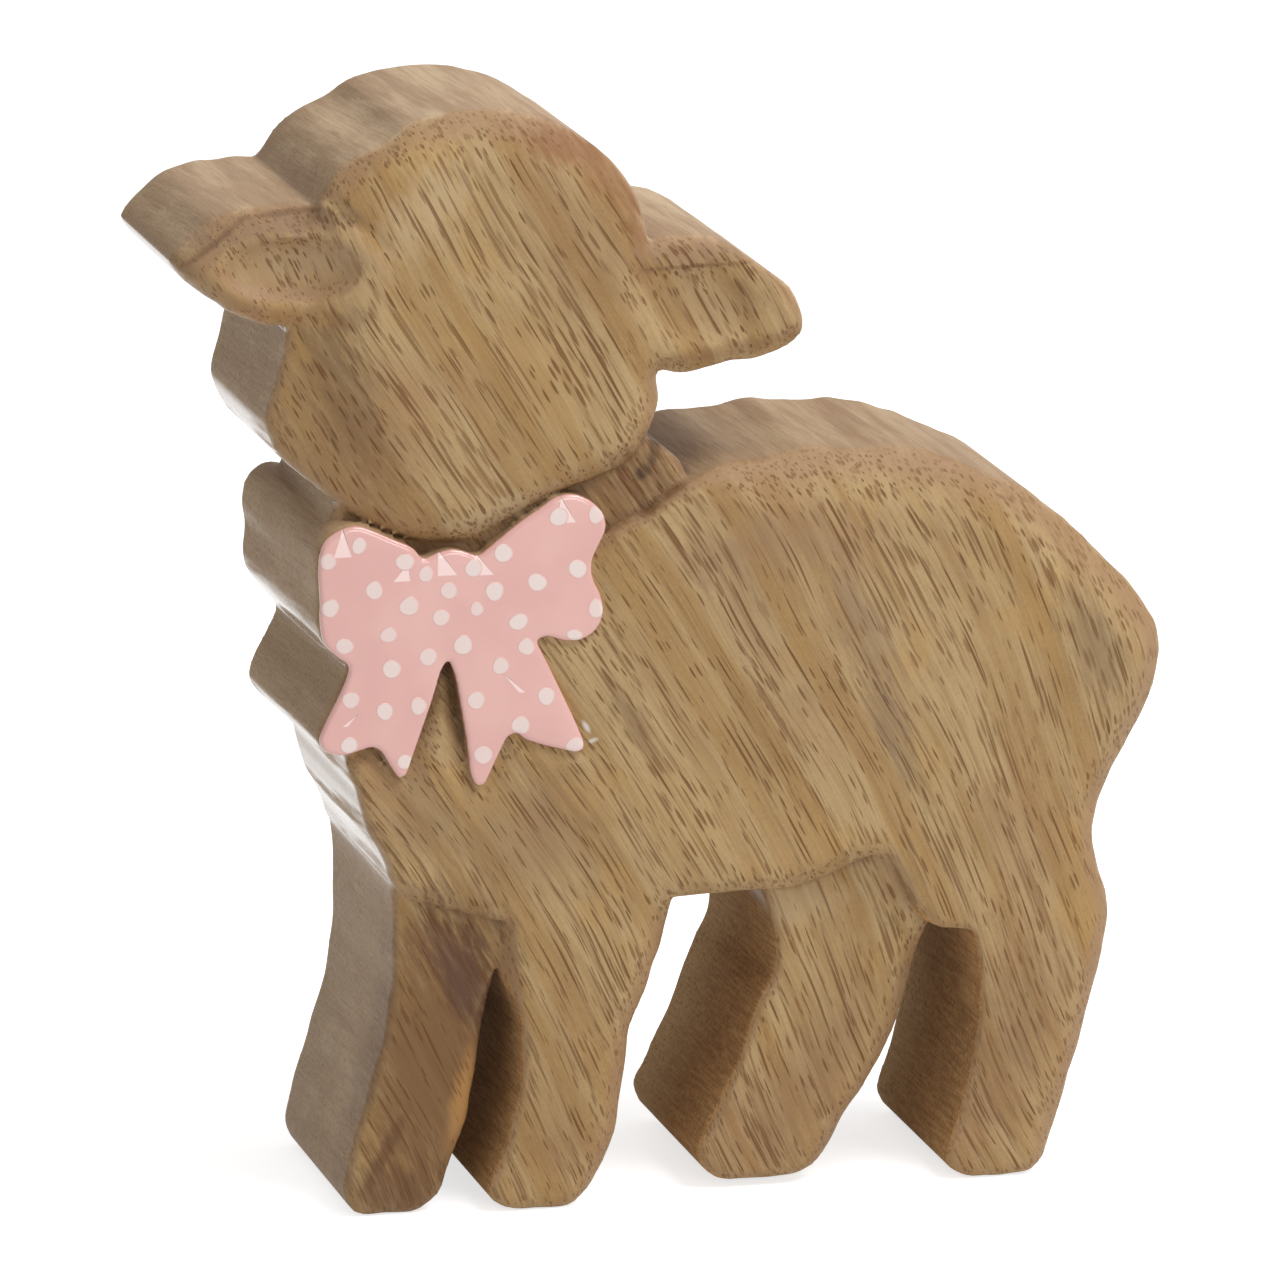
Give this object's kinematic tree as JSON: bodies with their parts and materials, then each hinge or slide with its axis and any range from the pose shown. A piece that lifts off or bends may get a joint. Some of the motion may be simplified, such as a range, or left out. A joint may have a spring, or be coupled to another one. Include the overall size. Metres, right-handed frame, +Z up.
{
  "type": "animal figurine",
  "caption": "Small standing wooden lamb in side view, sawn from one thick block and carved in relief, with an enamelled dotted bow at its neck.",
  "frame": {"origin": "under the middle of the block, on the surface that the feet stand on", "axes": "+X towards the animal's tail, +Y towards its back face, +Z up; the carved front with the bow faces -Y"},
  "size_m": [0.1173, 0.036, 0.13],
  "materials": {
    "carved_wood": "light brown hardwood with short dark pores, sanded and waxed to a low sheen",
    "pink_enamel": "poured pale pink enamel, glossy, with a rounded rim",
    "white_enamel": "off-white enamel dots, flush in the pink, glossy"
  },
  "bodies": {
    "root": {"wood_body": "carved_wood", "bow_enamel": "pink_enamel", "bow_dots": "white_enamel"}
  },
  "joints": []
}
